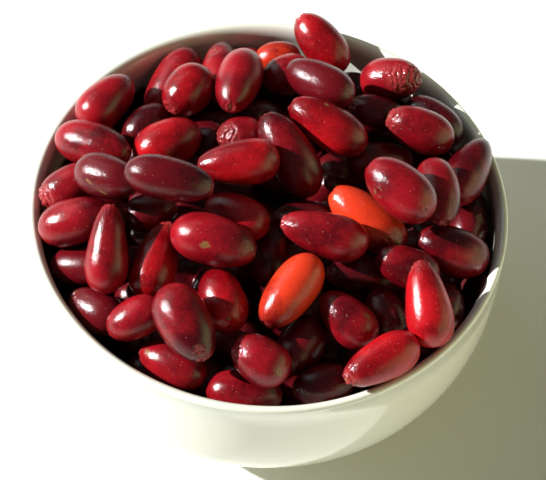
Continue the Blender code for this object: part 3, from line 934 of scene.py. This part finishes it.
@dataclass(frozen=True)
class Form:
    """A fruit's place and shape, as measured on its solid."""

    centre: np.ndarray
    axis: np.ndarray
    half_length: float
    belly: float
    neck: float

    FULLNESS = 2.3
    NECK_BLUNTNESS = 7.0
    MEASURED_PART = 0.97
    FIT_ROUNDS = 5
    UPRIGHT = 0.9

    @classmethod
    def measured(cls, node: str) -> "Form":
        """Measures a fruit on its solid.

        Args:
            node: The solid's name.

        Returns:
            The form, with its axis from the stalk end to the tip.
        """
        mesh = welded(node)
        points = points_of(mesh)
        bpy.data.meshes.remove(mesh)
        gaps = np.linalg.norm(points[:, None] - points[None], axis=-1)
        first, last = np.unravel_index(gaps.argmax(), gaps.shape)
        centre = (points[first] + points[last]) / 2
        half_length = gaps[first, last] / 2
        axis = (points[last] - points[first]) / (2 * half_length)
        along = (points - centre) @ axis / half_length
        around = np.linalg.norm(points - centre - np.outer(along * half_length, axis), axis=1)
        side = np.abs(along) < cls.MEASURED_PART
        along, around = along[side], around[side]
        slope, belly = np.polyfit(along, around / np.sqrt(1 - np.abs(along) ** cls.FULLNESS), 1)
        if slope < 0:
            axis, along = -axis, -along
        neck = abs(slope) / belly
        for _ in range(cls.FIT_ROUNDS):
            fullness = cls.FULLNESS + np.where(along < 0, cls.NECK_BLUNTNESS * neck**2, 0.0)
            slope, belly = np.polyfit(along, around / np.sqrt(1 - np.abs(along) ** fullness), 1)
            neck = max(slope / belly, 0.0)
        return cls(centre, axis, float(half_length), float(belly), float(neck))

    def frame(self, turn: float) -> np.ndarray:
        """Gives the fruit's own directions.

        Args:
            turn: The turn about its axis.

        Returns:
            The directions as columns, with the axis last.
        """
        helper = np.array([0.0, 0, 1]) if abs(self.axis[2]) < self.UPRIGHT else np.array([1.0, 0, 0])
        side = np.cross(helper, self.axis)
        side /= np.linalg.norm(side)
        other = np.cross(self.axis, side)
        first = math.cos(turn) * side + math.sin(turn) * other
        return np.stack([first, np.cross(self.axis, first), self.axis], axis=1)

    def stalk_end(self) -> np.ndarray:
        """Gives the point of the stalk end."""
        return self.centre - self.axis * self.half_length


@dataclass(frozen=True)
class Orchard:
    """What makes the fruits: a tree for the body and a tree for the relief of the skin."""

    sides: int = 96
    rings: int = 70
    bend: float = 0.35 * MM
    arch_level: float = 0.35
    unevenness: float = 0.55 * MM
    lump_scale: float = 1.5
    lump_level: float = 0.6
    fold_start: float = -0.45
    fold_end: float = -0.95
    fold_width: float = 0.09
    fold_share: float = 0.16
    fold_scale: float = 2.0
    fold_round: float = 0.9
    fold_along: float = 1.6
    dimple: float = 0.55 * MM
    dimple_reach: float = 1.3 * MM
    rim_place: float = 1.7
    rim_sharpness: float = 1.8
    rim_share: float = 0.22
    crease_depth: float = 0.34 * MM
    crease_size: float = 1.9 * MM
    crease_width: float = 0.45
    crease_drift: Grain = (0.8, 1.4)
    ring_depth: float = 0.16 * MM
    ring_spacing: float = 1.75 * MM
    ring_wander: float = 2.6
    wander_scale: float = 240.0

    def body_tree(self) -> GeometryGraph:
        """Wires the tree that makes a fruit's body along Z, with its stalk end below.

        Returns:
            The tree.
        """
        floats = (
            "Half length", "Belly", "Neck", "Fullness", "Stalk fullness", "Bend", "Unevenness", "Folds",
            "Dimple", "Dimple reach", "Seed",
        )
        graph = GeometryGraph("Cherry body", floats, ["Sides", "Rings"])
        given = graph.given
        globe = graph.add("GeometryNodeMeshUVSphere", {"Segments": given["Sides"], "Rings": given["Rings"]})
        place = graph.position()
        x, y, along = graph.split(place)
        spoke = graph.vector("NORMALIZE", graph.combine(x, y, 0.0))
        below = graph.math("LESS_THAN", along, 0.0)
        seed = graph.combine(*[given["Seed"]] * 3)

        extra = graph.minus(given["Stalk fullness"], given["Fullness"])
        fullness = graph.math("MULTIPLY_ADD", below, extra, given["Fullness"])
        power = graph.math("POWER", graph.math("ABSOLUTE", along), fullness)
        round_part = graph.math("SQRT", graph.math("MAXIMUM", graph.minus(1.0, power), 0.0))
        taper = graph.math("MULTIPLY_ADD", given["Neck"], along, 1.0)
        radius = graph.times(given["Belly"], graph.times(round_part, taper))

        drift = graph.combine(0.0, 0.0, graph.times(along, self.fold_along))
        around = graph.vector("ADD", graph.scaled(spoke, self.fold_round), drift)
        around = graph.vector("ADD", around, seed)
        ridge = graph.math("ABSOLUTE", graph.minus(graph.noise(around, self.fold_scale), 0.5))
        valley = graph.ease(ridge, 0.0, self.fold_width, 1.0, 0.0)
        fold = graph.times(valley, graph.ease(along, self.fold_start, self.fold_end), given["Folds"])
        radius = graph.times(radius, graph.minus(1.0, graph.times(fold, self.fold_share)))

        reach = graph.math("DIVIDE", radius, given["Dimple reach"])
        hollow = graph.math("EXPONENT", graph.times(reach, reach, -1.0))
        off_rim = graph.times(graph.minus(reach, self.rim_place), self.rim_sharpness)
        rim = graph.math("EXPONENT", graph.times(off_rim, off_rim, -1.0))
        depth = graph.minus(hollow, graph.times(rim, self.rim_share))
        pressed = graph.times(depth, below, given["Dimple"])

        height = graph.math("MULTIPLY_ADD", given["Half length"], along, pressed)
        arch = graph.minus(graph.times(along, along), self.arch_level)
        side = graph.combine(graph.times(arch, given["Bend"]), 0.0, height)
        body = graph.vector("ADD", graph.scaled(spoke, radius), side)
        shaped = graph.moved(globe.outputs["Mesh"], Position=body)
        lumps = graph.noise(graph.vector("ADD", place, seed), self.lump_scale, 1.0)
        push = graph.times(graph.minus(lumps, self.lump_level), given["Unevenness"])
        graph.finish(graph.moved(shaped, Offset=graph.scaled(graph.normal(), push)))
        return graph

    def relief_tree(self) -> GeometryGraph:
        """Wires the tree that dents a skin and creases it where it has shrunk.

        Returns:
            The tree.
        """
        floats = ("Crease depth", "Crease size", "Ring depth", "Ring spacing", "Seed")
        graph = GeometryGraph("Skin relief", floats)
        given = graph.given
        scale, share = self.crease_drift
        place = graph.vector("DIVIDE", graph.position(), graph.combine(*[given["Crease size"]] * 3))
        drift = graph.add("ShaderNodeTexNoise", {"Vector": place, "Scale": scale, "Detail": 1.0})
        place = graph.vector("ADD", place, graph.scaled(drift.outputs["Color"], share))
        place = graph.vector("ADD", place, graph.combine(*[given["Seed"]] * 3))
        edge = graph.cells(place, 1.0, "DISTANCE_TO_EDGE").outputs[0]
        crease = graph.minus(graph.ease(edge, 0.0, self.crease_width), 1.0)
        depth = graph.times(crease, graph.stored("creased"), given["Crease depth"])
        push = graph.plus(depth, self.rings_round_stalk(graph), graph.stored("dent"))
        graph.finish(graph.moved(given["Geometry"], Offset=graph.scaled(graph.normal(), push)))
        return graph

    def rings_round_stalk(self, graph: GeometryGraph) -> Socket:
        """Wires uneven wrinkles that run round the stalk end.

        Args:
            graph: The relief's tree.

        Returns:
            How far they lift the skin.
        """
        wander = graph.times(graph.noise(graph.position(), self.wander_scale), self.ring_wander)
        count = graph.math("DIVIDE", graph.stored("from_stalk"), graph.given["Ring spacing"])
        wave = graph.math("SINE", graph.times(graph.plus(count, wander), math.tau))
        return graph.times(wave, graph.given["Ring depth"], graph.stored("creased"))


@dataclass
class Cherry:
    """One fruit that shows, made over its solid."""

    number: int
    look: Look
    orchard: Orchard
    body_tree: GeometryGraph
    relief_tree: GeometryGraph
    skins: Mapping[Finish, bpy.types.Material]

    BODY_SEED = 3.7
    RELIEF_SEED = 1.3
    DIMPLE_DEPTHS = (0.6, 1.3)
    DIMPLE_REACHES = (0.8, 1.2)
    SHRUNK_EDGE = (0.45, 1.25)
    CREASED_EDGE = (0.5, 1.0)
    STALK_EDGE = (0.5, 1.1)
    TIP_EDGE = (0.3, 0.7)
    SCAB_EDGE = (0.0, 1.3)
    CRACK_EDGE = (0.5, 1.7)
    STALK_CORK = 0.8
    TIP_CORK = 0.75
    SCAB_CORK = 1.1
    RING_CORK = 0.6
    SCAB_DENT = 0.12 * MM
    CRACK_DENT = 0.15 * MM
    RING_WIDTH = 0.4 * MM
    RING_RISE = 0.22 * MM
    RING_DENT = 0.35 * MM
    RING_FLOOR = 0.7

    @property
    def node(self) -> str:
        """The solid's name."""
        return f"cherry_{self.number:02d}"

    def body(self, form: Form) -> bpy.types.Mesh:
        """Makes the smooth body in place.

        Args:
            form: The fruit's measured form.

        Returns:
            The body's mesh.
        """
        orchard = self.orchard
        draw = np.random.default_rng(self.number)
        values = {
            "Sides": orchard.sides, "Rings": orchard.rings, "Half length": form.half_length,
            "Belly": form.belly, "Neck": form.neck, "Fullness": Form.FULLNESS,
            "Stalk fullness": Form.FULLNESS + Form.NECK_BLUNTNESS * form.neck**2,
            "Bend": float(draw.uniform(-1, 1)) * orchard.bend, "Unevenness": orchard.unevenness,
            "Folds": self.look.folds, "Dimple": orchard.dimple * float(draw.uniform(*self.DIMPLE_DEPTHS)),
            "Dimple reach": orchard.dimple_reach * float(draw.uniform(*self.DIMPLE_REACHES)),
            "Seed": self.number * self.BODY_SEED, "Material": self.skins[self.look.finish],
        }
        mesh = self.body_tree.run(bpy.data.meshes.new("start"), values)
        turn = form.frame(float(draw.uniform(0, math.tau)))
        matrix = Matrix(turn.tolist()).to_4x4()
        mesh.transform(Matrix.Translation(Vector(form.centre)) @ matrix)
        return mesh

    def seen_point(self, points: np.ndarray, centre: np.ndarray, pixel: Pixel) -> np.ndarray:
        """Finds the point of the skin that a pixel shows.

        Args:
            points: The skin's points.
            centre: The fruit's middle.
            pixel: The place in the photograph.

        Returns:
            The nearest point on the side that faces the viewer.
        """
        start, sight = np.array(VIEW.place()), np.array(VIEW.sight(pixel))
        facing = (points - centre) @ sight < 0
        away = points - start
        aside = np.linalg.norm(away - np.outer(away @ sight, sight), axis=1)
        return points[np.where(facing, aside, np.inf).argmin()]

    def paint(self, mesh: bpy.types.Mesh, form: Form) -> None:
        """Keeps on the mesh where it is creased, corky and dented, and its tone.

        Args:
            mesh: The fruit's body.
            form: Its measured form.
        """
        points = points_of(mesh)
        from_stalk = np.linalg.norm(points - form.stalk_end(), axis=1)
        from_tip = np.linalg.norm(points - (form.centre + form.axis * form.half_length), axis=1)
        creased = nearness(from_stalk, self.look.shrunk * MM, self.SHRUNK_EDGE)
        scab = self.STALK_CORK * nearness(from_stalk, MM, self.STALK_EDGE)
        scab += self.TIP_CORK * nearness(from_tip, MM, self.TIP_EDGE)
        dent = np.zeros(len(points))
        for mark in self.look.marks:
            start = self.seen_point(points, form.centre, mark.at)
            gap = np.linalg.norm(points - start, axis=1)
            size = mark.reach * MM
            if mark.kind is Kind.CREASED:
                creased = np.maximum(creased, nearness(gap, size, self.CREASED_EDGE))
            elif mark.kind is Kind.SCAB:
                scab = np.maximum(scab, self.SCAB_CORK * nearness(gap, size, self.SCAB_EDGE))
                dent -= self.SCAB_DENT * hump(gap / size)
            elif mark.kind is Kind.RING:
                ring = hump((gap - size) / self.RING_WIDTH)
                dent += self.RING_RISE * ring - self.RING_DENT * hump(gap / (self.RING_FLOOR * size))
                scab = np.maximum(scab, self.RING_CORK * ring)
            elif mark.kind is Kind.CRACK and mark.to:
                end = self.seen_point(points, form.centre, mark.to)
                run = end - start
                share = np.clip((points - start) @ run / (run @ run), 0, 1)
                gap = np.linalg.norm(points - start - np.outer(share, run), axis=1)
                scab = np.maximum(scab, self.SCAB_CORK * nearness(gap, size, self.CRACK_EDGE))
                dent -= self.CRACK_DENT * hump(gap / size)
        along = (points - form.centre) @ form.axis / form.half_length
        tone = self.look.tone + self.look.fade * along
        kept = {"creased": creased, "scab": scab, "dent": dent, "tone": tone, "from_stalk": from_stalk}
        for name, values in kept.items():
            layer = mesh.attributes.new(name, "FLOAT", "POINT")
            layer.data.foreach_set("value", values.astype(np.float32))

    def build(self) -> bpy.types.Object:
        """Makes the fruit.

        Returns:
            The fruit's object.
        """
        form = Form.measured(self.node)
        mesh = self.body(form)
        self.paint(mesh, form)
        values = {
            "Crease depth": self.orchard.crease_depth, "Crease size": self.orchard.crease_size,
            "Ring depth": self.orchard.ring_depth, "Ring spacing": self.orchard.ring_spacing,
            "Seed": self.number * self.RELIEF_SEED, "Material": self.skins[self.look.finish],
        }
        fine = self.relief_tree.run(mesh, values)
        keep_in_box(fine)
        return add_piece(f"fruit_{self.number:02d}", fine, [self.node])


@dataclass
class LowerHeap:
    """The fruits beneath, rounded from their fused solids, all in the dark skin: painted shade that keeps
    the gaps between the fruits above dark.
    """

    number: int
    skin: bpy.types.Material
    levels: int = 2
    swell: float = 0.75 * MM
    unevenness: float = 0.5 * MM
    lump_scale: float = 150.0
    tone: float = 0.6

    def tree(self) -> GeometryGraph:
        """Wires the tree that rounds a fused solid and swells it back to size.

        Returns:
            The tree.
        """
        graph = GeometryGraph("Rounded heap", ["Swell", "Unevenness"], ["Levels"])
        given = graph.given
        rounded = graph.add(
            "GeometryNodeSubdivisionSurface", {"Mesh": given["Geometry"], "Level": given["Levels"]}
        ).outputs[0]
        lumps = graph.minus(graph.noise(graph.position(), self.lump_scale), 0.5)
        push = graph.math("MULTIPLY_ADD", lumps, given["Unevenness"], given["Swell"])
        moved = graph.moved(rounded, Offset=graph.scaled(graph.normal(), push))
        for name in ("creased", "scab"):
            moved = graph.store(moved, name, 0.0)
        graph.finish(graph.store(moved, "tone", self.tone))
        return graph

    def build(self) -> bpy.types.Object:
        """Makes the cluster.

        Returns:
            The cluster's object.
        """
        node = f"lower_cherries_{self.number}"
        values = {
            "Levels": self.levels, "Swell": self.swell, "Unevenness": self.unevenness,
            "Material": self.skin,
        }
        mesh = self.tree().run(welded(node), values)
        return add_piece(f"fruits_beneath_{self.number}", mesh, [node])


@dataclass(frozen=True)
class Panel:
    """A rectangle of soft light: turn and height in degrees, distance and size in metres."""

    name: str
    turn: float
    height: float
    distance: float
    colour: Colour
    power: float
    size: tuple[float, float]


@dataclass(frozen=True)
class Studio:
    """A pale floor, a low key light from behind on the left, and dim soft light from elsewhere."""

    floor_radius: float = 2.5
    floor_drop: float = 0.05 * MM
    floor_sides: int = 96
    floor: Colour = (0.80, 0.80, 0.77)
    floor_shade: float = 0.97
    floor_scale: float = 9.0
    floor_roughness: float = 0.7
    key_turn: float = 180.0
    key_height: float = 30.0
    key_strength: float = 8.0
    key_width: float = math.radians(1.2)
    key_distance: float = 3.0
    sky: Colour = (0.86, 0.97, 1.0)
    sky_strength: float = 0.09
    panels: tuple[Panel, ...] = (
        Panel("window", 152, 37, 1.6, (0.94, 0.98, 1.0), 6.5, (1.6, 1.1)),
        Panel("panel", -14, 18, 1.5, (1.0, 0.94, 0.46), 12.0, (2.2, 1.2)),
    )

    def direction(self, turn: float, height: float) -> Vector:
        """Gives the direction from the dish to a light.

        Args:
            turn: The turn about Z in degrees.
            height: The height above the floor in degrees.

        Returns:
            The direction, with length 1.
        """
        turn, height = math.radians(turn), math.radians(height)
        flat = math.cos(height)
        return Vector((flat * math.cos(turn), flat * math.sin(turn), math.sin(height)))

    def add_floor(self) -> None:
        """Adds the floor."""
        mesh = bpy.data.meshes.new("floor")
        shell = bmesh.new()
        bmesh.ops.create_circle(shell, cap_ends=True, segments=self.floor_sides, radius=self.floor_radius)
        shell.to_mesh(mesh)
        shell.free()
        graph = MaterialGraph("pale floor")
        darker = tuple(self.floor_shade * part for part in self.floor)
        colour = graph.blend(graph.noise(graph.place, self.floor_scale, 4.0), self.floor, darker)
        mesh.materials.append(graph.finish({"Base Color": colour, "Roughness": self.floor_roughness}))
        floor = bpy.data.objects.new("floor", mesh)
        floor.location.z = -self.floor_drop
        bpy.context.scene.collection.objects.link(floor)

    def add_light(self, kind: str, name: str, towards: Vector, **settings: Any) -> bpy.types.Object:
        """Adds a light that shines at the dish.

        Args:
            kind: Blender's kind of light.
            name: The light's name.
            towards: The way from the dish to the light, with its distance as length.
            settings: The light's own properties.

        Returns:
            The light's object.
        """
        data = bpy.data.lights.new(name, kind)
        for key, value in settings.items():
            setattr(data, key, value)
        light = bpy.data.objects.new(name, data)
        light.location = towards
        light.rotation_euler = towards.to_track_quat("Z", "Y").to_euler()
        bpy.context.scene.collection.objects.link(light)
        return light

    def build(self) -> None:
        """Adds the floor, the lights and the sky."""
        self.add_floor()
        towards = self.direction(self.key_turn, self.key_height) * self.key_distance
        self.add_light("SUN", "key", towards, energy=self.key_strength, angle=self.key_width)
        for panel in self.panels:
            place = self.direction(panel.turn, panel.height) * panel.distance
            width, height = panel.size
            light = self.add_light(
                "AREA", panel.name, place, energy=panel.power, color=panel.colour, shape="RECTANGLE",
                size=width, size_y=height,
            )
            light.visible_camera = False
        world = bpy.data.worlds.new("room")
        world.use_nodes = True
        background = world.node_tree.nodes["Background"]
        background.inputs["Color"].default_value = (*self.sky, 1.0)
        background.inputs["Strength"].default_value = self.sky_strength
        bpy.context.scene.world = world
        bpy.context.scene.view_settings.view_transform = "Standard"


def main() -> None:
    """Builds the camera, the studio, the bowl and every fruit."""
    VIEW.add_camera()
    Studio().build()
    Glazed().build()
    skins = {finish: finish.skin.material() for finish in Finish}
    orchard = Orchard()
    body_tree, relief_tree = orchard.body_tree(), orchard.relief_tree()
    for number, look in enumerate(LOOKS, start=1):
        Cherry(number, look, orchard, body_tree, relief_tree, skins).build()
    for number in range(1, LOWER_HEAPS + 1):
        # The fruits beneath all wear the dark skin: painted shade for the gaps between the fruits above.
        LowerHeap(number, skins[DARK]).build()


if __name__ == "__main__":
    logging.basicConfig(level=logging.INFO, format="%(message)s")
    main()
